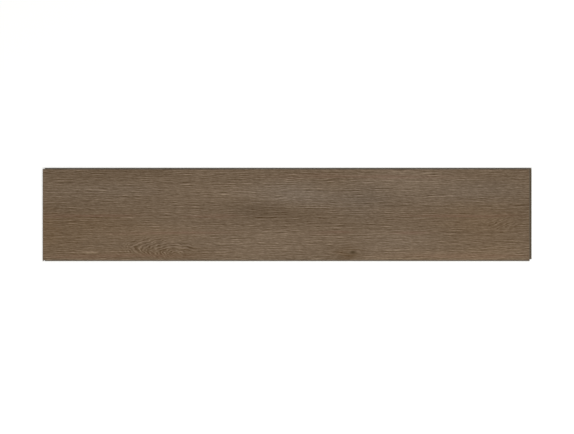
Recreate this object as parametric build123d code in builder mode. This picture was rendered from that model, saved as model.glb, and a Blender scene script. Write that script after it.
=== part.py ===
"""Rigid core vinyl floor plank, 9 x 48 in face, with click-lock edges milled on all four sides.

Millimetres. X runs along the plank, Y across it and Z up, and the plank lies on its underside.
The origin is on the underside, below the centre of the printed face.

Two milling passes make the plank, so two sections make the solid: the section across the plank
is extruded along X, and the section along the plank is extruded along Y and keeps what both share.
"""

import os
from math import radians, sqrt, tan

from build123d import *

# Face and board
face_length = 1219.2  # from one end joint to the next
face_width = 228.6  # from one long joint to the next
thickness = 5.0
bevel_width = 1.0  # painted micro-bevel round the face
bevel_depth = 0.5

# Clearances of the joints
fit_gap = 0.05  # between surfaces that lock
free_gap = 0.15  # between surfaces that never touch

# Long edges: the tongue is angled into the groove and its heel locks behind the lip's ridge
tongue_reach = 2.0  # past the face, on the -Y edge
tongue_drop = 1.7  # from the face down to the tongue's top
tongue_root = 1.9  # height of the tongue at the face edge
tongue_nose = 0.45  # radius of the nose's upper corner
groove_corner = 0.3  # radius in the bottom of the groove
heel_set = 1.2  # from the face edge in to the tongue's heel
heel_slope = 60.0  # degrees from level, of the heel and the ridge
lip_reach = 2.6  # of the groove's lower lip past the face, on the +Y edge
ridge_rise = 0.65  # of the locking ridge above the lip's trough
ridge_ramp = 0.4  # lead-in on the outside of the ridge
tip_chamfer = 0.3  # under the tips of the lips

# Short ends: a hook under the -X end drops into the trough of the lip at the +X end
end_lip_reach = 4.8  # of the lip past the face
end_flange = 1.6  # board left above the hook's recess
hook_drop = 3.45  # from the face down to the hook's underside
hook_width = 2.35  # of the hook at its underside
hook_lead = 0.3  # chamfer that guides the hook in
flank_lean = 10.0  # degrees from upright, of the locking flanks
bead_reach = 0.2  # of the bead that snaps under the face edge
bead_drop = 1.9  # from the face down to the bead's crest
bead_half_height = 0.4

# Heights of the long joint, all set from the face because the faces have to meet flush
tongue_top = thickness - tongue_drop
pivot_radius = tongue_drop + tongue_root  # the tongue's underside is round about the face edge
socket_radius = pivot_radius + fit_gap
groove_top = tongue_top + fit_gap
groove_depth = tongue_reach + free_gap
ridge_top = thickness - socket_radius + ridge_rise
ridge_recess_top = ridge_top + free_gap
ridge_recess_depth = lip_reach + free_gap

# Heights of the end joint
hook_underside = thickness - hook_drop
trough_floor = hook_underside - fit_gap
trough_width = hook_width + fit_gap
hook_recess_top = thickness - end_flange
hook_recess_depth = end_lip_reach + free_gap
end_lip_top = hook_recess_top - free_gap
bead_height = thickness - bead_drop


def socket_height(reach, radius):
    """Height, at a distance from the face edge, of a round of this radius about that edge."""
    return thickness - sqrt(radius**2 - reach**2)


def heel_run(low, high):
    """How far the sloping heel or ridge moves sideways between two heights."""
    return (high - low) / tan(radians(heel_slope))


def flank_run(low, high):
    """How far the leaning flank of the end joint moves sideways between two heights."""
    return (high - low) * tan(radians(flank_lean))


def tongue_point(reach, height):
    """A point of the tongue edge: reach is measured outwards from the face edge."""
    return (-face_width / 2 - reach, height)


def groove_point(reach, height):
    """A point of the groove edge: reach is measured into the board from the face edge."""
    return (face_width / 2 - reach, height)


def lip_point(reach, height):
    """A point of the lip end: reach is measured outwards from the face edge."""
    return (face_length / 2 + reach, height)


def hook_point(reach, height):
    """A point of the hook end: reach is measured into the board from the face edge."""
    return (-face_length / 2 + reach, height)


# Section across the plank: tongue on the left, groove and lower lip on the right
heel_low = socket_height(heel_set, pivot_radius)
ridge_foot = heel_set + fit_gap
ridge_low = socket_height(ridge_foot, socket_radius)

tongue_shoulder = tongue_point(tongue_reach - tongue_nose, tongue_top)
tongue_tip = tongue_point(tongue_reach, tongue_top - tongue_nose)
tongue_toe = tongue_point(tongue_reach, socket_height(tongue_reach, pivot_radius))
tongue_belly = tongue_point(0, thickness - pivot_radius)
tongue_heel = tongue_point(-heel_set, heel_low)
ridge_start = groove_point(-ridge_foot, ridge_low)
socket_belly = groove_point(0, thickness - socket_radius)
groove_toe = groove_point(groove_depth, socket_height(groove_depth, socket_radius))
groove_back = groove_point(groove_depth, groove_top - groove_corner)
groove_roof = groove_point(groove_depth - groove_corner, groove_top)

with BuildSketch(Plane.YZ) as across:
    with BuildLine():
        Polyline(
            groove_roof,
            groove_point(0, groove_top),
            groove_point(0, thickness - bevel_depth),
            groove_point(bevel_width, thickness),
            tongue_point(-bevel_width, thickness),
            tongue_point(0, thickness - bevel_depth),
            tongue_point(0, tongue_top),
            tongue_shoulder,
        )
        TangentArc(tongue_shoulder, tongue_tip, tangent=(-1, 0))
        Line(tongue_tip, tongue_toe)
        ThreePointArc(tongue_toe, tongue_belly, tongue_heel)
        Polyline(
            tongue_heel,
            tongue_point(-heel_set - heel_run(heel_low, ridge_recess_top), ridge_recess_top),
            tongue_point(-ridge_recess_depth, ridge_recess_top),
            tongue_point(-ridge_recess_depth, 0),
            groove_point(-lip_reach + tip_chamfer, 0),
            groove_point(-lip_reach, tip_chamfer),
            groove_point(-lip_reach, ridge_top - ridge_ramp),
            groove_point(-lip_reach + ridge_ramp, ridge_top),
            groove_point(-ridge_foot - heel_run(ridge_low, ridge_top), ridge_top),
            ridge_start,
        )
        ThreePointArc(ridge_start, socket_belly, groove_toe)
        Line(groove_toe, groove_back)
        TangentArc(groove_back, groove_roof, tangent=(0, 1))
    make_face()

# Section along the plank: hook on the left, lip with its upturned edge on the right
notch_reach = bead_reach + fit_gap
notch_half_height = bead_half_height + fit_gap

with BuildSketch(Plane.XZ) as along:
    with BuildLine():
        Polyline(
            hook_point(hook_recess_depth, 0),
            hook_point(hook_recess_depth, hook_recess_top),
            hook_point(hook_width + flank_run(hook_underside, hook_recess_top), hook_recess_top),
            hook_point(hook_width, hook_underside),
            hook_point(hook_lead, hook_underside),
            hook_point(0, hook_underside + hook_lead),
            hook_point(0, bead_height - bead_half_height),
            hook_point(-bead_reach, bead_height),
            hook_point(0, bead_height + bead_half_height),
            hook_point(0, thickness - bevel_depth),
            hook_point(bevel_width, thickness),
            lip_point(-bevel_width, thickness),
            lip_point(0, thickness - bevel_depth),
            lip_point(0, bead_height + notch_half_height),
            lip_point(-notch_reach, bead_height),
            lip_point(0, bead_height - notch_half_height),
            lip_point(0, trough_floor),
            lip_point(trough_width, trough_floor),
            lip_point(trough_width + flank_run(trough_floor, end_lip_top), end_lip_top),
            lip_point(end_lip_reach - ridge_ramp, end_lip_top),
            lip_point(end_lip_reach, end_lip_top - ridge_ramp),
            lip_point(end_lip_reach, tip_chamfer),
            lip_point(end_lip_reach - tip_chamfer, 0),
            close=True,
        )
    make_face()

# Each section runs past whatever the other one reaches furthest out with
half_length = face_length / 2 + max(end_lip_reach, bead_reach)
half_width = face_width / 2 + max(lip_reach, tongue_reach)

with BuildPart() as plank:
    extrude(across.sketch, amount=half_length, both=True)
    extrude(along.sketch, amount=half_width, both=True, mode=Mode.INTERSECT)

    # The groove's lip stops short of the hook, so that the next plank's end lip has room there
    with BuildSketch(Plane.XY):
        with Locations((-face_length / 2, face_width / 2)):
            Rectangle(hook_recess_depth, lip_reach, align=(Align.MIN, Align.MIN))
    extrude(amount=ridge_top, mode=Mode.SUBTRACT)

    # The end lip stops short of the tongue, so that the next row's lip has room there
    with BuildSketch(Plane.XY):
        with Locations((face_length / 2, -face_width / 2 + ridge_recess_depth)):
            Rectangle(end_lip_reach, tongue_reach + ridge_recess_depth, align=(Align.MIN, Align.MAX))
    extrude(amount=end_lip_top, mode=Mode.SUBTRACT)

plank.part.label = "plank"

os.makedirs("parts", exist_ok=True)
export_step(plank.part, "parts/plank.step")
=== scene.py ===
"""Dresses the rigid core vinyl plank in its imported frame, in metres.

The plank is one piece: a stone-plastic board with click-lock edges milled on all four sides. Its face
is a printed oak film under a clear wear layer, which is embossed in register with the print.
"""

import logging
from collections.abc import Mapping
from dataclasses import dataclass, field
from enum import Enum, IntEnum
from math import radians, tau

import bmesh
import bpy
import numpy as np
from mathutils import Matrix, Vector


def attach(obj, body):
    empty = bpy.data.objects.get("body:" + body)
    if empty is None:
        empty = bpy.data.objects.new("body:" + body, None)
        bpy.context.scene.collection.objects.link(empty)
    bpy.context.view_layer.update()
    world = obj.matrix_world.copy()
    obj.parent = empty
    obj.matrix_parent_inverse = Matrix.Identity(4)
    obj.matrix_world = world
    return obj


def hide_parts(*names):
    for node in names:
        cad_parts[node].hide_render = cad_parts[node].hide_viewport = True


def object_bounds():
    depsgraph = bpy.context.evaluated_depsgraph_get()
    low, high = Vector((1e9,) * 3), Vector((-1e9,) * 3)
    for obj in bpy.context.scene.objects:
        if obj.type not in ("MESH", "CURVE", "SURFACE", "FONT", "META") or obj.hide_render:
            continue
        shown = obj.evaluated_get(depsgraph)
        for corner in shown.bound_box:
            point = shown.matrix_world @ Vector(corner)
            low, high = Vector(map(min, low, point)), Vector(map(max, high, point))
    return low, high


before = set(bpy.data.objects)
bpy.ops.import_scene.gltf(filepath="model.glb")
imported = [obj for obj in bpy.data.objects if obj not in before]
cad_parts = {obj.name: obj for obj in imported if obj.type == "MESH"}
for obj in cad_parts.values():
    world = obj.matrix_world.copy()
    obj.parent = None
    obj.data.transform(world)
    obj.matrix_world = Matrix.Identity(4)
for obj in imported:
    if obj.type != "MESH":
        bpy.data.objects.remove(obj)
cad_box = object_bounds()

MM = 0.001
WELD = 0.001 * MM  # points nearer than this are one point
LEVELS = 255  # of an 8-bit sRGB channel
IMAGE_SIZE = (574, 434)  # of the photograph, in pixels

log = logging.getLogger("plank")


class MixInput(IntEnum):
    """A Mix node's inputs by number, because those for numbers, vectors and colours share names."""

    NUMBER_A = 2
    NUMBER_B = 3
    VECTOR_A = 4
    VECTOR_B = 5
    COLOUR_A = 6
    COLOUR_B = 7


class MixOutput(IntEnum):
    """A Mix node's outputs by number, because they share one name."""

    NUMBER = 0
    VECTOR = 1
    COLOUR = 2


def linear(colour: str) -> tuple[float, float, float, float]:
    """Turns an sRGB hex colour into the linear colour that Blender's sockets take.

    Args:
        colour: The colour as "#rrggbb".

    Returns:
        Red, green, blue and an alpha of 1.
    """
    shares = [int(colour[at : at + 2], 16) / LEVELS for at in (1, 3, 5)]
    # The sRGB curve is straight near black and a power above that
    red, green, blue = (
        share / 12.92 if share <= 0.04045 else ((share + 0.055) / 1.055) ** 2.4 for share in shares
    )
    return red, green, blue, 1.0


def add_node(
    tree: bpy.types.NodeTree,
    kind: str,
    inputs: Mapping[int | str, object] | None = None,
    **settings: object,
) -> bpy.types.Node:
    """Adds a node with its settings, and fills its inputs.

    Args:
        tree: The shader or geometry tree that gets the node.
        kind: The node's type name.
        inputs: Values for the inputs, by name or number. A socket is linked, and anything else is set.
        settings: Properties of the node.

    Returns:
        The new node.
    """
    node = tree.nodes.new(kind)
    for name, value in settings.items():
        setattr(node, name, value)
    for key, value in (inputs or {}).items():
        if isinstance(value, bpy.types.NodeSocket):
            tree.links.new(value, node.inputs[key])
        else:
            node.inputs[key].default_value = value
    return node


def place_on_plank(tree: bpy.types.NodeTree) -> bpy.types.NodeSocket:
    """Adds the place on the plank.

    Args:
        tree: The material's tree.

    Returns:
        The place, in millimetres.
    """
    metres = add_node(tree, "ShaderNodeTexCoord").outputs["Object"]
    return add_node(
        tree, "ShaderNodeVectorMath", {0: metres, "Scale": 1 / MM}, operation="SCALE"
    ).outputs[0]


def drawn_out(
    tree: bpy.types.NodeTree,
    place: bpy.types.NodeSocket,
    along: float,
    across: float,
    detail: float = 0.0,
    stagger: float = 0.0,
) -> bpy.types.NodeSocket:
    """Adds noise that is drawn out along the grain.

    Args:
        tree: The tree that gets the nodes.
        place: The place on the face, in millimetres.
        along: Length of the streaks in millimetres.
        across: Width of the streaks in millimetres.
        detail: Octaves of finer noise on top.
        stagger: How far each row is set off from the last, as a share of the length.

    Returns:
        The noise, from 0 to 1 and about 0.5 on the whole.
    """
    squeezed = add_node(
        tree, "ShaderNodeVectorMath", {0: place, 1: (1 / along, 1 / across, 1)}, operation="MULTIPLY"
    ).outputs[0]
    row = add_node(tree, "ShaderNodeSeparateXYZ", {0: squeezed}).outputs["Y"]
    staggered = add_node(
        tree,
        "ShaderNodeVectorMath",
        {0: row, 1: (stagger, 0, 0), 2: squeezed},
        operation="MULTIPLY_ADD",
    )
    noise = add_node(
        tree,
        "ShaderNodeTexNoise",
        {"Vector": staggered.outputs[0], "Scale": 1.0, "Detail": detail},
        noise_dimensions="2D",
    )
    return noise.outputs[0]


def nearness(
    tree: bpy.types.NodeTree,
    place: bpy.types.NodeSocket,
    at: tuple[float, float],
    half: tuple[float, float],
    peak: float = 1.0,
) -> bpy.types.NodeSocket:
    """Adds a soft oval spot.

    Args:
        tree: The tree that gets the nodes.
        place: The place on the face, in millimetres.
        at: Centre of the spot in millimetres.
        half: Half its length and half its width in millimetres.
        peak: The value at its centre.

    Returns:
        The peak at the centre, falling smoothly to 0 at the rim.
    """
    scale = [1 / size for size in half]
    shift = [-centre / size for centre, size in zip(at, half, strict=True)]
    offset = add_node(
        tree, "ShaderNodeVectorMath", {0: place, 1: (*scale, 0), 2: (*shift, 0)}, operation="MULTIPLY_ADD"
    )
    reach = add_node(tree, "ShaderNodeVectorMath", {0: offset.outputs[0]}, operation="LENGTH")
    spot = add_node(
        tree,
        "ShaderNodeMapRange",
        {"Value": reach.outputs["Value"], "From Min": 1.0, "From Max": 0.0, "To Max": peak},
        interpolation_type="SMOOTHSTEP",
    )
    return spot.outputs[0]


def read(
    items: bpy.types.bpy_prop_collection, name: str, width: int = 1, kind: type = float
) -> np.ndarray:
    """Reads one property of every point, face or corner of a mesh.

    Args:
        items: The mesh's points, faces or corners.
        name: The property.
        width: How many values an item has.
        kind: The type of the values.

    Returns:
        The values, with a row for each item where it has more than one.
    """
    values = np.empty(len(items) * width, kind)
    items.foreach_get(name, values)
    return values.reshape(-1, width) if width > 1 else values


@dataclass(frozen=True)
class Cloud:
    """A soft patch of the print that is lighter, warmer or redder than the rest.

    Places are millimetres from the centre of the face, and strengths are levels of an 8-bit sRGB channel.
    """

    at: tuple[float, float]
    half: tuple[float, float]
    light: float = 0.0
    warm: float = 0.0
    red: float = 0.0


@dataclass(frozen=True)
class GrainSockets:
    """What the oak figure gives to a tree.

    The place is in millimetres, the ring is a wave about 0, and each other one is a share from 0 to 1.
    """

    place: bpy.types.NodeSocket
    flame: bpy.types.NodeSocket
    ring: bpy.types.NodeSocket
    line: bpy.types.NodeSocket
    streak: bpy.types.NodeSocket
    fibre: bpy.types.NodeSocket
    pore: bpy.types.NodeSocket


@dataclass(frozen=True)
class Flame:
    """A place where the growth rings come up through the face, as nested arcs that point left.

    Sizes are millimetres, and places are from the centre of the face.
    """

    at: tuple[float, float]
    half: tuple[float, float]
    heart: float  # where the arcs begin, because right of it the rings run level
    axis: float  # height of the line through the tips of the arcs, at the heart
    lean: float  # fall of that line for each millimetre along the board
    dip: float  # fall of the rings for each millimetre along the board
    share: float  # of the arcs in the grain at the middle, past 1 where they are whole over a wide part
    roundness: float = 1.3  # of the tips of the arcs, from 1 for a corner to 2 for an oval
    jag: tuple[float, float, float] = (16.0, 5.0, 5.0)  # length, width and height of the jags in the arcs

    def rings(self, tree: bpy.types.NodeTree, place: bpy.types.NodeSocket) -> bpy.types.NodeSocket:
        """Adds the place on the arcs.

        Args:
            tree: The tree that gets the nodes.
            place: The place on the face, in millimetres.

        Returns:
            The place along the board as X and the distance from the heart of the log as Y.
        """
        parts = add_node(tree, "ShaderNodeSeparateXYZ", {0: place}).outputs
        level = self.axis + self.lean * self.heart
        above = add_node(tree, "ShaderNodeMath", {0: parts["Y"], 1: level}, operation="SUBTRACT")
        leaned = add_node(
            tree,
            "ShaderNodeMath",
            {0: parts["X"], 1: self.lean, 2: above.outputs[0]},
            operation="MULTIPLY_ADD",
        )
        side = add_node(tree, "ShaderNodeMath", {0: leaned.outputs[0]}, operation="ABSOLUTE")
        dipped = add_node(
            tree,
            "ShaderNodeMath",
            {0: parts["X"], 1: -self.dip, 2: self.dip * self.heart},
            operation="MULTIPLY_ADD",
        )
        depth = add_node(tree, "ShaderNodeMath", {0: dipped.outputs[0], 1: 0.0}, operation="MAXIMUM")
        raised = [
            add_node(tree, "ShaderNodeMath", {0: part.outputs[0], 1: self.roundness}, operation="POWER")
            for part in (side, depth)
        ]
        both = add_node(
            tree, "ShaderNodeMath", {0: raised[0].outputs[0], 1: raised[1].outputs[0]}, operation="ADD"
        )
        ring = add_node(
            tree, "ShaderNodeMath", {0: both.outputs[0], 1: 1 / self.roundness}, operation="POWER"
        )
        length, width, height = self.jag
        jagged = add_node(
            tree,
            "ShaderNodeMath",
            {0: drawn_out(tree, place, length, width), 1: height, 2: ring.outputs[0]},
            operation="MULTIPLY_ADD",
        )
        return add_node(
            tree, "ShaderNodeCombineXYZ", {"X": parts["X"], "Y": jagged.outputs[0]}
        ).outputs[0]


@dataclass(frozen=True)
class OakFigure:
    """The figure of the oak board that the print shows, in millimetres from the centre of the face.

    The grain runs straight, apart from one flame near the left end, a faint one at the right end and a
    small knot that it bows round.
    """

    wander_length: float = 150.0  # of the grain's slow sway
    wander_width: float = 60.0
    wander_height: float = 5.0
    knot_at: tuple[float, float] = (167.0, -92.5)
    knot_reach: tuple[float, float] = (45.0, 20.0)
    knot_pull: float = 0.6
    ring_spacing: float = 5.2  # of fast-grown oak, and about the closest that shows at 2.5 mm a pixel
    ring_stray: float = 1.5  # how far the rings stray, in spacings
    stray_length: float = 140.0
    stray_width: float = 14.0
    patch_length: float = 24.0  # of the patches where the rings show most
    patch_width: float = 14.0
    patch_mean: float = 0.5  # of the rings' strength
    patch_gain: float = 3.5  # of the patches on that strength, which swaps dark and light below 0
    line_length: float = 125.0
    line_width: float = 2.0
    streak_length: float = 18.0  # bands of pores within a ring
    streak_width: float = 2.0
    fibre_length: float = 7.0  # of bundles, because single fibres are far too fine to show
    fibre_width: float = 2.0
    pore_length: float = 7.0
    pore_width: float = 0.42
    stagger: float = 0.382  # of their length, from row to row, so that the ends of streaks never line up
    pore_share: tuple[float, float] = (0.60, 0.72)  # of the noise, where a pore begins and is full
    flames: tuple[Flame, ...] = (
        Flame((-312, -79), (136, 38), heart=-278, axis=-98, lean=0.17, dip=0.44, share=1.8),
        Flame((540, -20), (75, 26), heart=620, axis=-36, lean=0.0, dip=0.35, share=0.8),
    )

    def draw(self, tree: bpy.types.NodeTree, metres: bpy.types.NodeSocket) -> GrainSockets:
        """Adds the figure to a shader or a geometry tree, which both then show the same grain.

        Args:
            tree: The tree that gets the nodes.
            metres: The place on the plank, in metres.

        Returns:
            The sockets that hold the figure.
        """
        bowed = self.bow(tree, metres)
        wave, *bands = self.strands(tree, bowed)
        patches = drawn_out(tree, bowed, self.patch_length, self.patch_width)
        strength = add_node(
            tree,
            "ShaderNodeMath",
            {0: patches, 1: self.patch_gain, 2: self.patch_mean - self.patch_gain / 2},
            operation="MULTIPLY_ADD",
        )
        patched = add_node(tree, "ShaderNodeMath", {0: wave, 1: strength.outputs[0]}, operation="MULTIPLY")
        strands = [patched.outputs[0], *bands]
        flamed: float | bpy.types.NodeSocket = 0.0
        for flame in self.flames:
            share = nearness(tree, bowed, flame.at, flame.half, flame.share)
            arcs = self.strands(tree, flame.rings(tree, bowed))
            strands = [
                add_node(
                    tree,
                    "ShaderNodeMix",
                    {"Factor": share, MixInput.NUMBER_A: straight, MixInput.NUMBER_B: arc},
                ).outputs[MixOutput.NUMBER]
                for straight, arc in zip(strands, arcs, strict=True)
            ]
            flamed = add_node(
                tree, "ShaderNodeMath", {0: share, 1: flamed}, operation="MAXIMUM", use_clamp=True
            ).outputs[0]
        pores = drawn_out(tree, bowed, self.pore_length, self.pore_width, stagger=self.stagger)
        pore = add_node(
            tree,
            "ShaderNodeMapRange",
            {"Value": pores, "From Min": self.pore_share[0], "From Max": self.pore_share[1]},
            interpolation_type="SMOOTHSTEP",
        )
        ring, line, streak = strands
        return GrainSockets(
            place=bowed,
            flame=flamed,
            ring=ring,
            line=line,
            streak=streak,
            fibre=drawn_out(
                tree, bowed, self.fibre_length, self.fibre_width, detail=1.0, stagger=self.stagger
            ),
            pore=pore.outputs[0],
        )

    def bow(self, tree: bpy.types.NodeTree, metres: bpy.types.NodeSocket) -> bpy.types.NodeSocket:
        """Adds the place in the grain, which sways a little and bows round the knot.

        Args:
            tree: The tree that gets the nodes.
            metres: The place on the plank, in metres.

        Returns:
            The place along the grain as X and across it as Y, in millimetres.
        """
        face = add_node(
            tree, "ShaderNodeVectorMath", {0: metres, 1: (1 / MM, 1 / MM, 0)}, operation="MULTIPLY"
        ).outputs[0]
        sway = drawn_out(tree, face, self.wander_length, self.wander_width, detail=1.0)
        swayed = add_node(
            tree,
            "ShaderNodeVectorMath",
            {0: sway, 1: (0, self.wander_height, 0), 2: face},
            operation="MULTIPLY_ADD",
        ).outputs[0]
        pull = nearness(tree, swayed, self.knot_at, self.knot_reach, self.knot_pull)
        return add_node(
            tree,
            "ShaderNodeMix",
            {"Factor": pull, MixInput.VECTOR_A: swayed, MixInput.VECTOR_B: (*self.knot_at, 0)},
            data_type="VECTOR",
        ).outputs[MixOutput.VECTOR]

    def strands(self, tree: bpy.types.NodeTree, place: bpy.types.NodeSocket) -> list[bpy.types.NodeSocket]:
        """Adds the growth rings, and the lines and bands of pores that follow them.

        Args:
            tree: The tree that gets the nodes.
            place: The place along the grain as X and across it as Y, in millimetres.

        Returns:
            The rings as a wave from -1 to 1, then the lines and the bands as noise from 0 to 1.
        """
        stray = drawn_out(tree, place, self.stray_length, self.stray_width)
        across = add_node(tree, "ShaderNodeSeparateXYZ", {0: place}).outputs["Y"]
        even = add_node(
            tree, "ShaderNodeMath", {0: across, 1: tau / self.ring_spacing}, operation="MULTIPLY"
        )
        turn = add_node(
            tree,
            "ShaderNodeMath",
            {0: stray, 1: tau * self.ring_stray, 2: even.outputs[0]},
            operation="MULTIPLY_ADD",
        )
        wave = add_node(tree, "ShaderNodeMath", {0: turn.outputs[0]}, operation="SINE")
        return [
            wave.outputs[0],
            drawn_out(tree, place, self.line_length, self.line_width, stagger=self.stagger),
            drawn_out(tree, place, self.streak_length, self.streak_width, stagger=self.stagger),
        ]


class Worked(Enum):
    """How a surface of the core was made."""

    MILLED = "milled"
    CALENDERED = "calendered"


def new_surface(
    name: str, ior: float, roughness: float, specular: float
) -> tuple[bpy.types.Material, bpy.types.ShaderNode]:
    """Starts a material from one plain shader.

    Args:
        name: The material's name.
        ior: Index of refraction.
        roughness: Roughness, where no pattern takes its place.
        specular: How much of the mirror shine is left, where 0.5 is all of it.

    Returns:
        The material and its Principled shader.
    """
    material = bpy.data.materials.new(name)
    material.use_nodes = True
    shader = material.node_tree.nodes["Principled BSDF"]
    shader.inputs["IOR"].default_value = ior
    shader.inputs["Roughness"].default_value = roughness
    shader.inputs["Specular IOR Level"].default_value = specular
    return material, shader


@dataclass(frozen=True)
class PrintedOakFilm:
    """Printed PVC film under a clear PVC wear layer with a matt lacquer, pressed by an engraved roller.

    The eye sees a flat print of brushed oak, a low sheen, and pores that are pressed in where they are
    printed. Sizes are millimetres.
    """

    figure: OakFigure
    cool_dark: str = "#584836"
    cool_light: str = "#7d6d5c"
    warm_dark: str = "#5e482e"
    warm_light: str = "#836d54"
    red_oak: str = "#7c5646"
    knot_brown: str = "#433115"
    tone_range: float = 37.0  # levels between the dark and the light colours
    warm_range: float = 14.0  # levels between the cool and the warm colours
    red_range: float = 12.0  # levels at which the print would be all red oak
    tone_bend: float = 0.2  # lifts the darkest and the lightest ink, so that they look equally strong
    ring_weight: float = 0.43
    line_weight: float = 0.67
    streak_weight: float = 0.88
    fibre_weight: float = 1.04
    pore_weight: float = 0.15
    flame_contrast: float = 0.3  # added to the rings' contrast in a flame
    knot_half: tuple[float, float] = (5.4, 2.5)
    ragged: tuple[float, float] = (90.0, 12.0)  # how far the grain pulls the edges of the clouds
    ior: float = 1.53
    roughness: tuple[float, float] = (0.46, 0.62)  # on the lacquer and in the pores
    specular: float = 0.2  # the lacquer's matting powder breaks up much of the mirror shine
    pore_depth: float = 0.08
    clouds: tuple[Cloud, ...] = (
        # The dark band along the middle
        Cloud((-560, 18), (170, 46), light=-5.5),
        Cloud((-520, -18), (200, 34), light=-5.5, warm=2.5),
        Cloud((-80, 14), (110, 40), light=-9, warm=-1.5),
        Cloud((30, -2), (190, 44), light=-6.5),
        Cloud((470, -6), (190, 60), light=-1.5, warm=2.5),
        Cloud((480, -32), (130, 30), light=-2),
        Cloud((596, 8), (60, 50), light=-6),
        # The pale band above it, and the dark edge beyond
        Cloud((-440, 64), (220, 34), light=5, warm=-2.5),
        Cloud((-165, 58), (190, 40), light=7),
        Cloud((0, 60), (170, 46), light=12, warm=-5.5),
        Cloud((90, 40), (140, 40), light=5, warm=-4),
        Cloud((190, 36), (90, 80), warm=-4),
        Cloud((300, 88), (220, 50), light=12, warm=-2.5),
        Cloud((300, 44), (240, 40), light=3, warm=-2.5),
        Cloud((500, 62), (180, 44), light=5, warm=-4),
        Cloud((-420, 108), (200, 34), light=-8),
        Cloud((-570, 104), (110, 30), light=-4),
        # The pale lower side, with its warm corners
        Cloud((-310, -42), (180, 34), light=6, warm=2.5),
        Cloud((-40, -62), (300, 56), light=8),
        Cloud((-130, -100), (220, 30), light=5),
        Cloud((270, -64), (150, 50), light=11, warm=-1.5),
        Cloud((370, -106), (260, 34), light=11, warm=4),
        Cloud((540, -96), (140, 40), light=6, warm=2.5),
        Cloud((-560, -66), (120, 50), light=-2, warm=2.5),
        Cloud((-606, -30), (40, 100), warm=5.5),
        Cloud((-400, -98), (400, 26), warm=4),
        Cloud((-290, -94), (120, 26), light=-6, warm=1.5),
        Cloud((-240, -100), (60, 20), light=-6),
        Cloud((148, -96), (38, 34), light=-12, warm=4),
        Cloud((157, -100), (18, 22), light=-10, warm=2),
        Cloud((500, -44), (170, 100), warm=3.5),
        Cloud((-470, -40), (260, 80), warm=3),
        # The reddish lines
        Cloud((-496, -1), (190, 6), red=3.5),
        Cloud((-180, -1), (110, 6), red=3.5),
        Cloud((438, -1), (230, 6), red=3.5),
        Cloud((-266, -43), (230, 6), red=3),
        Cloud((115, -43), (70, 6), red=3),
        Cloud((315, -43), (80, 6), red=3),
        Cloud((195, 98), (380, 8), red=2.5),
        Cloud((-430, -101), (340, 8), red=2.5),
        Cloud((440, -101), (260, 8), red=2.5),
    )

    def make(self) -> bpy.types.Material:
        """Makes the material.

        Returns:
            The material, with its print, sheen and pressed pores.
        """
        material, shader = new_surface("printed_oak_film", self.ior, self.roughness[0], self.specular)
        tree = material.node_tree
        place = add_node(tree, "ShaderNodeTexCoord").outputs["Object"]
        grain = self.figure.draw(tree, place)
        rough = add_node(
            tree,
            "ShaderNodeMapRange",
            {"Value": grain.pore, "To Min": self.roughness[0], "To Max": self.roughness[1]},
        )
        pressed = add_node(
            tree, "ShaderNodeBump", {"Height": grain.pore, "Distance": self.pore_depth * MM}, invert=True
        )
        tree.links.new(self.colour(tree, grain), shader.inputs["Base Color"])
        tree.links.new(rough.outputs[0], shader.inputs["Roughness"])
        tree.links.new(pressed.outputs[0], shader.inputs["Normal"])
        return material

    def mood(self, tree: bpy.types.NodeTree, grain: GrainSockets) -> bpy.types.Node:
        """Adds up the clouds, with edges that the grain makes ragged.

        Args:
            tree: The material's tree.
            grain: The oak figure in that tree.

        Returns:
            A node that gives lightness, warmth and redness in levels, as X, Y and Z.
        """
        pulled = add_node(
            tree,
            "ShaderNodeVectorMath",
            {0: grain.line, 1: (*self.ragged, 0), 2: grain.place},
            operation="MULTIPLY_ADD",
        )
        shift = tuple(-size / 2 for size in self.ragged)
        place = add_node(
            tree, "ShaderNodeVectorMath", {0: pulled.outputs[0], 1: (*shift, 0)}, operation="ADD"
        ).outputs[0]
        total: tuple[float, float, float] | bpy.types.NodeSocket = (0.0, 0.0, 0.0)
        for cloud in self.clouds:
            spot = nearness(tree, place, cloud.at, cloud.half)
            strength = (cloud.light, cloud.warm, cloud.red)
            total = add_node(
                tree, "ShaderNodeVectorMath", {0: spot, 1: strength, 2: total}, operation="MULTIPLY_ADD"
            ).outputs[0]
        return add_node(tree, "ShaderNodeSeparateXYZ", {0: total})

    def tone(
        self, tree: bpy.types.NodeTree, grain: GrainSockets, light: bpy.types.NodeSocket
    ) -> bpy.types.NodeSocket:
        """Adds up the patterns of the grain and the lightness of the clouds.

        Args:
            tree: The material's tree.
            grain: The oak figure in that tree.
            light: Lightness of the clouds, in levels.

        Returns:
            The place between the dark and the light ink, about 0.5 on the whole.
        """
        contrast = add_node(
            tree,
            "ShaderNodeMath",
            {0: grain.flame, 1: self.flame_contrast, 2: 1.0},
            operation="MULTIPLY_ADD",
        )
        rings = add_node(
            tree, "ShaderNodeMath", {0: grain.ring, 1: contrast.outputs[0]}, operation="MULTIPLY"
        )
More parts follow.
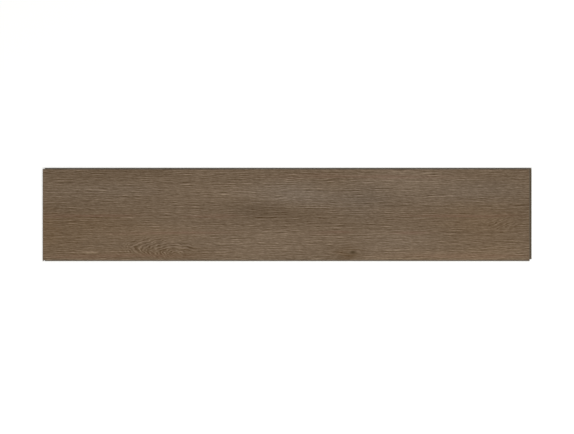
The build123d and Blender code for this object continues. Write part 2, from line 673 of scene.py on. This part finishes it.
        # Lines, streaks and fibres are about 0.5 on the whole, so half their weight is taken off again
        noisy = self.line_weight + self.streak_weight + self.fibre_weight
        offset = add_node(
            tree,
            "ShaderNodeMath",
            {0: light, 1: 1 / self.tone_range, 2: -noisy / 2},
            operation="MULTIPLY_ADD",
        ).outputs[0]
        weighed = (
            (rings.outputs[0], self.ring_weight),
            (grain.line, self.line_weight),
            (grain.streak, self.streak_weight),
            (grain.fibre, self.fibre_weight),
            (grain.pore, -self.pore_weight),
        )
        for pattern, weight in weighed:
            offset = add_node(
                tree, "ShaderNodeMath", {0: pattern, 1: weight, 2: offset}, operation="MULTIPLY_ADD"
            ).outputs[0]
        bend = add_node(
            tree, "ShaderNodeMath", {0: offset, 1: self.tone_bend, 2: 1.0}, operation="MULTIPLY_ADD"
        )
        return add_node(
            tree, "ShaderNodeMath", {0: offset, 1: bend.outputs[0], 2: 0.5}, operation="MULTIPLY_ADD"
        ).outputs[0]

    def colour(self, tree: bpy.types.NodeTree, grain: GrainSockets) -> bpy.types.NodeSocket:
        """Adds the printed colour.

        Args:
            tree: The material's tree.
            grain: The oak figure in that tree.

        Returns:
            The colour socket.
        """
        mood = self.mood(tree, grain).outputs
        tone = self.tone(tree, grain, mood["X"])
        cool, warm = (
            add_node(
                tree,
                "ShaderNodeMix",
                {"Factor": tone, MixInput.COLOUR_A: linear(dark), MixInput.COLOUR_B: linear(light)},
                data_type="RGBA",
                clamp_factor=False,
                clamp_result=True,
            ).outputs[MixOutput.COLOUR]
            for dark, light in ((self.cool_dark, self.cool_light), (self.warm_dark, self.warm_light))
        )
        warmth = add_node(
            tree,
            "ShaderNodeMath",
            {0: mood["Y"], 1: 1 / self.warm_range, 2: 0.5},
            operation="MULTIPLY_ADD",
        )
        redness = add_node(
            tree, "ShaderNodeMath", {0: mood["Z"], 1: 1 / self.red_range}, operation="MULTIPLY"
        )
        colour = cool
        layers = (
            (warmth.outputs[0], warm),
            (redness.outputs[0], linear(self.red_oak)),
            (nearness(tree, grain.place, self.figure.knot_at, self.knot_half), linear(self.knot_brown)),
        )
        for share, layer in layers:
            colour = add_node(
                tree,
                "ShaderNodeMix",
                {"Factor": share, MixInput.COLOUR_A: colour, MixInput.COLOUR_B: layer},
                data_type="RGBA",
            ).outputs[MixOutput.COLOUR]
        return colour


@dataclass(frozen=True)
class BevelPaint:
    """Acrylic edge paint rolled on the cut micro-bevel.

    The eye sees a thin, even, dull line round the face, a little greyer than the print.
    """

    colour: str = "#5f564a"
    worn: str = "#6c6357"
    ior: float = 1.49
    roughness: float = 0.6
    specular: float = 0.2  # the paint soaks into the cut and dries without a skin
    mottle: tuple[float, float] = (9.0, 1.2)  # length and width in millimetres

    def make(self) -> bpy.types.Material:
        """Makes the material.

        Returns:
            The material, with paint that is a little paler in places.
        """
        material, shader = new_surface("acrylic_edge_paint", self.ior, self.roughness, self.specular)
        tree = material.node_tree
        thin = drawn_out(tree, place_on_plank(tree), *self.mottle, detail=2.0)
        paint = add_node(
            tree,
            "ShaderNodeMix",
            {"Factor": thin, MixInput.COLOUR_A: linear(self.colour), MixInput.COLOUR_B: linear(self.worn)},
            data_type="RGBA",
        )
        tree.links.new(paint.outputs[MixOutput.COLOUR], shader.inputs["Base Color"])
        return material


@dataclass(frozen=True)
class StonePlastic:
    """Limestone-filled rigid PVC, extruded as a sheet, with its edges milled to the joint.

    The eye sees a dull brown with pale grit, with cutter marks on the edges and faint lengthwise
    roller streaks underneath. Sizes are millimetres.
    """

    worked: Worked
    dark: str = "#574b3b"
    light: str = "#756856"
    ior: float = 1.52
    roughness: float = 0.72
    specular: float = 0.15  # the filler lies open and breaks up the shine
    grit: float = 0.35  # of clots of filler, because its single grains are too fine to show
    cutter_step: float = 0.5  # feed of the cutter for each tooth, drawn a little coarse so that it shows
    streak: tuple[float, float] = (120.0, 2.5)  # length and width of the roller's marks
    mark_depth: float = 0.02

    def make(self) -> bpy.types.Material:
        """Makes the material.

        Returns:
            The material, with the marks of how it was worked.
        """
        name = f"stone_plastic_{self.worked.value}"
        material, shader = new_surface(name, self.ior, self.roughness, self.specular)
        tree = material.node_tree
        place = place_on_plank(tree)
        grit = add_node(
            tree, "ShaderNodeTexNoise", {"Vector": place, "Scale": 1 / self.grit, "Detail": 2.0}
        ).outputs[0]
        compound = add_node(
            tree,
            "ShaderNodeMix",
            {"Factor": grit, MixInput.COLOUR_A: linear(self.dark), MixInput.COLOUR_B: linear(self.light)},
            data_type="RGBA",
        )
        tree.links.new(compound.outputs[MixOutput.COLOUR], shader.inputs["Base Color"])
        marks = {
            Worked.MILLED: (self.cutter_step, self.cutter_step),
            Worked.CALENDERED: self.streak,
        }[self.worked]
        tooled = add_node(
            tree,
            "ShaderNodeBump",
            {"Height": drawn_out(tree, place, *marks), "Distance": self.mark_depth * MM},
        )
        tree.links.new(tooled.outputs[0], shader.inputs["Normal"])
        return material


class Region(IntEnum):
    """The finishes of the plank, in the order of its material slots."""

    FACE = 0
    BEVEL = 1
    EDGE = 2
    BACK = 3


@dataclass
class Plank:
    """The plank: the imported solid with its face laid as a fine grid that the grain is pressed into.

    Sizes are millimetres.
    """

    node: str = "plank"
    slot: str = "vinyl_plank"
    name: str = "floor_plank"
    figure: OakFigure = field(default_factory=OakFigure)
    cell_along: float = 6.0
    cell_across: float = 0.5
    emboss_depth: float = 0.16
    emboss_fade: float = 2.5  # from the bevel in to the full depth
    emboss_streaks: float = 0.5  # share of the streaks in the relief, where the lines are the rest
    emboss_share: tuple[float, float] = (0.34, 0.5)  # of the grain, from the deepest lines to the flat
    crease: float = 20.0  # degrees, past which an edge stays sharp
    share_name: str = "emboss_share"
    map_name: str = "OFBake"
    face_map: float = 0.74  # of the map's height that the face takes
    back_map: float = 0.08
    map_gap: float = 0.004  # between strips of the map
    gap_limit: float = 0.25  # largest share of a strip that the gap takes

    def build(self) -> bpy.types.Object:
        """Builds the piece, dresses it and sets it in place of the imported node.

        Returns:
            The finished piece.
        """
        mesh = self.lay_face(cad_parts[self.node].data)
        piece = bpy.data.objects.new(self.name, mesh)
        bpy.context.scene.collection.objects.link(piece)
        self.press(piece)
        self.lay_out_map(piece.data)
        self.dress(piece)
        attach(piece, "root")
        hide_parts(self.node)
        return piece

    def lay_face(self, packed: bpy.types.Mesh) -> bpy.types.Mesh:
        """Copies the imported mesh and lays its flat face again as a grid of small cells.

        Args:
            packed: The node's mesh, which stays as it is.

        Returns:
            The new mesh, closed, with each face in its region.
        """
        solid = bmesh.new()
        solid.from_mesh(packed)
        bmesh.ops.remove_doubles(solid, verts=solid.verts, dist=WELD)
        top = max(vert.co.z for vert in solid.verts)
        flat = [part for part in solid.faces if self.region_of(part, top) is Region.FACE]
        bmesh.ops.delete(solid, geom=flat, context="FACES")
        rim = [edge for edge in solid.edges if edge.is_boundary]
        for axis, cell in enumerate((self.cell_along, self.cell_across)):
            sides = [edge for edge in rim if self.runs_along(edge, axis)]
            cells = round(max(edge.calc_length() for edge in sides) / (cell * MM))
            bmesh.ops.subdivide_edges(solid, edges=sides, cuts=cells - 1)
        rails = [edge for edge in solid.edges if edge.is_boundary and self.runs_along(edge, axis=0)]
        bmesh.ops.grid_fill(solid, edges=rails, use_interp_simple=True)
        bmesh.ops.recalc_face_normals(solid, faces=solid.faces)
        for part in solid.faces:
            part.material_index = self.region_of(part, top)
            part.smooth = True
        mesh = bpy.data.meshes.new(self.name)
        solid.to_mesh(mesh)
        solid.free()
        mesh.attributes.remove(mesh.attributes["custom_normal"])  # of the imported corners
        mesh.set_sharp_from_angle(angle=radians(self.crease))
        return mesh

    @staticmethod
    def runs_along(edge: bmesh.types.BMEdge, axis: int) -> bool:
        """Tells whether an edge gets anywhere along an axis."""
        start, end = edge.verts
        return abs(start.co[axis] - end.co[axis]) > WELD

    @staticmethod
    def region_of(part: bmesh.types.BMFace, top: float) -> Region:
        """Tells which finish a face of the flat mesh takes, from its heights.

        Args:
            part: The face.
            top: Height of the printed face, in metres.

        Returns:
            The region that the face is in.
        """
        heights = [vert.co.z for vert in part.verts]
        if min(heights) > top - WELD:
            return Region.FACE
        if max(heights) > top - WELD:
            return Region.BEVEL
        return Region.BACK if max(heights) < WELD else Region.EDGE

    def press(self, piece: bpy.types.Object) -> None:
        """Presses the grain into the face, in register with the print.

        Args:
            piece: The plank, whose mesh is replaced by the pressed one.
        """
        mesh = piece.data
        points = read(mesh.vertices, "co", 3, np.float32)
        face = points[:, 2] > points[:, 2].max() - WELD
        low, high = points[face].min(0), points[face].max(0)
        inset = np.minimum(points - low, high - points)[:, :2].min(1)
        share = np.where(face, np.clip(inset / (self.emboss_fade * MM), 0, 1), 0)
        mesh.attributes.new(self.share_name, "FLOAT", "POINT").data.foreach_set("value", share)

        press = piece.modifiers.new("press", "NODES")
        press.node_group = self.press_tree()
        graph = bpy.context.evaluated_depsgraph_get()
        piece.data = bpy.data.meshes.new_from_object(
            piece.evaluated_get(graph), preserve_all_data_layers=True, depsgraph=graph
        )
        piece.modifiers.clear()
        piece.data.attributes.remove(piece.data.attributes[self.share_name])
        bpy.data.meshes.remove(mesh)

    def press_tree(self) -> bpy.types.NodeTree:
        """Makes the nodes that move each point of the face down by the depth of the grain there.

        Returns:
            The geometry tree.
        """
        tree = bpy.data.node_groups.new("press", "GeometryNodeTree")
        for way in ("INPUT", "OUTPUT"):
            tree.interface.new_socket("Geometry", in_out=way, socket_type="NodeSocketGeometry")
        flat = add_node(tree, "NodeGroupInput")
        grain = self.figure.draw(tree, add_node(tree, "GeometryNodeInputPosition").outputs[0])
        both = add_node(
            tree,
            "ShaderNodeMix",
            {
                "Factor": self.emboss_streaks,
                MixInput.NUMBER_A: grain.line,
                MixInput.NUMBER_B: grain.streak,
            },
        )
        groove = add_node(
            tree,
            "ShaderNodeMapRange",
            {
                "Value": both.outputs[MixOutput.NUMBER],
                "From Min": self.emboss_share[0],
                "From Max": self.emboss_share[1],
                "To Min": -self.emboss_depth * MM,
                "To Max": 0.0,
            },
            interpolation_type="SMOOTHSTEP",
        )
        share = add_node(
            tree, "GeometryNodeInputNamedAttribute", {"Name": self.share_name}, data_type="FLOAT"
        )
        drop = add_node(
            tree, "ShaderNodeMath", {0: groove.outputs[0], 1: share.outputs[0]}, operation="MULTIPLY"
        )
        down = add_node(tree, "ShaderNodeCombineXYZ", {"Z": drop.outputs[0]})
        moved = add_node(
            tree, "GeometryNodeSetPosition", {"Geometry": flat.outputs[0], "Offset": down.outputs[0]}
        )
        add_node(tree, "NodeGroupOutput", {0: moved.outputs[0]})
        return tree

    def lay_out_map(self, mesh: bpy.types.Mesh) -> None:
        """Lays the surfaces out on a square map, with most of it for the face.

        The face is stretched across the grain, where its detail is finest. Every strip runs over the
        whole width of the map.

        Args:
            mesh: The mesh that gets the map.
        """
        points = read(mesh.vertices, "co", 3)[read(mesh.loops, "vertex_index", kind=int)]
        strips, strip = self.sort_strips(mesh)
        places = np.zeros((len(points), 2))
        shares = {Region.FACE: self.face_map, Region.BACK: self.back_map}
        edge_map = (1 - self.face_map - self.back_map) / (len(strips) - len(shares))
        bottom = 0.0
        for number, (region, across, _, _) in enumerate(strips):
            height = shares.get(region, edge_map)
            chosen = strip == number
            flat = np.delete(points[chosen], across, axis=1)
            spans = np.maximum(np.ptp(flat, axis=0), WELD)
            gap = min(self.map_gap, height * self.gap_limit)
            room = np.array([1.0, height]) - gap
            places[chosen] = (flat - flat.min(0)) / spans * room + (gap / 2, bottom + gap / 2)
            bottom += height
        mesh.uv_layers.new(name=self.map_name).data.foreach_set("uv", places.ravel())

    @staticmethod
    def sort_strips(mesh: bpy.types.Mesh) -> tuple[np.ndarray, np.ndarray]:
        """Sorts the faces into strips of the map.

        The printed face and the back are a strip each. The others share a strip where they have the
        same finish, look the same way and lie on the same side of the plank.

        Args:
            mesh: The mesh that gets the map.

        Returns:
            A row for each strip, with its region, the axis that it looks along, which way and on which
            side, and then the strip's number for each corner of the mesh.
        """
        normals = read(mesh.polygons, "normal", 3)
        regions = read(mesh.polygons, "material_index", kind=int)
        spread = read(mesh.polygons, "center", 3) / np.ptp(read(mesh.vertices, "co", 3), axis=0)
        end = np.abs(spread[:, 0]) > np.abs(spread[:, 1])
        side = np.where(end, np.sign(spread[:, 0]), 2 * np.sign(spread[:, 1]))
        plain = np.isin(regions, (Region.FACE, Region.BACK))
        axis = np.where(plain, 2, np.abs(normals).argmax(1))
        looks = np.sign(np.take_along_axis(normals, axis[:, None], 1)[:, 0])
        keys = np.stack([regions, axis, np.where(plain, 0, looks), np.where(plain, 0, side)], 1)
        strips, strip = np.unique(keys.astype(int), axis=0, return_inverse=True)
        return strips, np.repeat(strip.ravel(), read(mesh.polygons, "loop_total", kind=int))

    def dress(self, piece: bpy.types.Object) -> None:
        """Gives each region its finish, in the order of the slots.

        Args:
            piece: The plank.
        """
        finishes = {
            Region.FACE: PrintedOakFilm(self.figure),
            Region.BEVEL: BevelPaint(),
            Region.EDGE: StonePlastic(Worked.MILLED),
            Region.BACK: StonePlastic(Worked.CALENDERED),
        }
        for region in Region:
            piece.data.materials.append(finishes[region].make())


@dataclass
class Studio:
    """A pale floor, soft light and a camera straight above, as the photograph was framed.

    The floor and the lamps are sized and placed in metres.
    """

    pixel: float = 2.503  # millimetres of the face that a pixel of the photograph covers
    plank_centre: tuple[float, float] = (287.1, 214.5)  # of the plank's outline, in pixels
    lens: float = 100.0  # millimetres, as is the sensor
    sensor: float = 36.0
    floor_colour: str = "#ececea"
    floor_size: float = 30.0
    floor_gap: float = 0.05  # millimetres below the plank, so that the two surfaces never share a plane
    floor_lift: float = 0.33  # what the floor lacks to white, for rays that show it
    sky_colour: str = "#ffffff"
    ambient: float = 0.5
    key_at: tuple[float, float, float] = (0.3, -2.4, 2.6)
    key_size: tuple[float, float] = (3.0, 1.6)
    key_power: float = 66.0  # watts, as is the fill's
    fill_at: tuple[float, float, float] = (0.8, 2.3, 2.4)
    fill_size: tuple[float, float] = (2.4, 2.4)
    fill_power: float = 12.0

    def build(self) -> None:
        """Builds the floor, the lights and the camera."""
        low, high = cad_box
        self.lay_floor(low.z)
        self.light()
        self.set_camera((low + high) / 2, high.z)
        bpy.context.scene.view_settings.view_transform = "Standard"

    @staticmethod
    def shown(tree: bpy.types.NodeTree) -> bpy.types.NodeSocket:
        """Adds a switch for the rays that show the background, directly or in a reflection.

        Args:
            tree: The tree of the floor's material or of the world.

        Returns:
            1 for those rays, and 0 for rays that only bring light.
        """
        path = add_node(tree, "ShaderNodeLightPath").outputs
        shown = path["Is Camera Ray"]
        for ray in ("Is Glossy Ray", "Is Transmission Ray"):
            shown = add_node(
                tree, "ShaderNodeMath", {0: shown, 1: path[ray]}, operation="ADD", use_clamp=True
            ).outputs[0]
        return shown

    def lay_floor(self, height: float) -> None:
        """Lays a matt floor that shows white, and darker only where the plank shades it.

        Args:
            height: Where the plank stands, in metres.
        """
        mesh = bpy.data.meshes.new("floor")
        half = self.floor_size / 2
        level = height - self.floor_gap * MM
        corners = [(x, y, level) for x, y in ((-half, -half), (half, -half), (half, half), (-half, half))]
        mesh.from_pydata(corners, [], [(0, 1, 2, 3)])
        material = bpy.data.materials.new("matt_floor")
        material.use_nodes = True
        tree = material.node_tree
        tree.nodes.remove(tree.nodes["Principled BSDF"])
        matt = add_node(tree, "ShaderNodeBsdfDiffuse", {"Color": linear(self.floor_colour)})
        lift = add_node(
            tree, "ShaderNodeMath", {0: self.shown(tree), 1: self.floor_lift}, operation="MULTIPLY"
        )
        glow = add_node(tree, "ShaderNodeEmission", {"Strength": lift.outputs[0]})
        both = add_node(tree, "ShaderNodeAddShader", {0: matt.outputs[0], 1: glow.outputs[0]})
        tree.links.new(both.outputs[0], tree.nodes["Material Output"].inputs["Surface"])
        mesh.materials.append(material)
        floor = bpy.data.objects.new("floor", mesh)
        bpy.context.scene.collection.objects.link(floor)

    def light(self) -> None:
        """Sets an even sky, a wide key lamp below the picture and a fill lamp opposite."""
        world = bpy.data.worlds.new("studio")
        bpy.context.scene.world = world
        world.use_nodes = True
        tree = world.node_tree
        sky = tree.nodes["Background"]
        sky.inputs["Color"].default_value = linear(self.sky_colour)
        strength = add_node(
            tree, "ShaderNodeMapRange", {"Value": self.shown(tree), "To Min": self.ambient, "To Max": 1.0}
        )
        tree.links.new(strength.outputs[0], sky.inputs["Strength"])
        lamps = {
            "key": (self.key_at, self.key_size, self.key_power),
            "fill": (self.fill_at, self.fill_size, self.fill_power),
        }
        for name, (at, size, power) in lamps.items():
            lamp = bpy.data.lights.new(name, "AREA")
            lamp.shape = "RECTANGLE"
            lamp.size, lamp.size_y = size
            lamp.energy = power
            stand = bpy.data.objects.new(name, lamp)
            stand.location = at
            stand.rotation_euler = (-Vector(at)).to_track_quat("-Z", "Y").to_euler()
            bpy.context.scene.collection.objects.link(stand)

    def set_camera(self, centre: Vector, top: float) -> None:
        """Sets the camera straight above, so that a pixel covers what it covers in the photograph.

        Args:
            centre: The middle of the plank's box.
            top: Height of its face.
        """
        scale = self.pixel * MM
        right = self.plank_centre[0] - IMAGE_SIZE[0] / 2
        down = self.plank_centre[1] - IMAGE_SIZE[1] / 2
        camera = bpy.data.cameras.new("camera")
        camera.lens = self.lens
        camera.sensor_width = self.sensor
        stand = bpy.data.objects.new("camera", camera)
        distance = IMAGE_SIZE[0] * scale * self.lens / self.sensor
        stand.location = (centre.x - right * scale, centre.y + down * scale, top + distance)
        bpy.context.scene.collection.objects.link(stand)
        bpy.context.scene.camera = stand


def main() -> None:
    """Builds the plank and the studio round it, and logs the plank's faces and finishes."""
    logging.basicConfig(level=logging.INFO, format="%(name)s: %(message)s")
    piece = Plank().build()
    used = {part.material_index for part in piece.data.polygons}
    log.info("%s: %d faces in %d finishes", piece.name, len(piece.data.polygons), len(used))
    Studio().build()
    log.info("studio: floor, lights and camera are set")


if __name__ == "__main__":
    main()
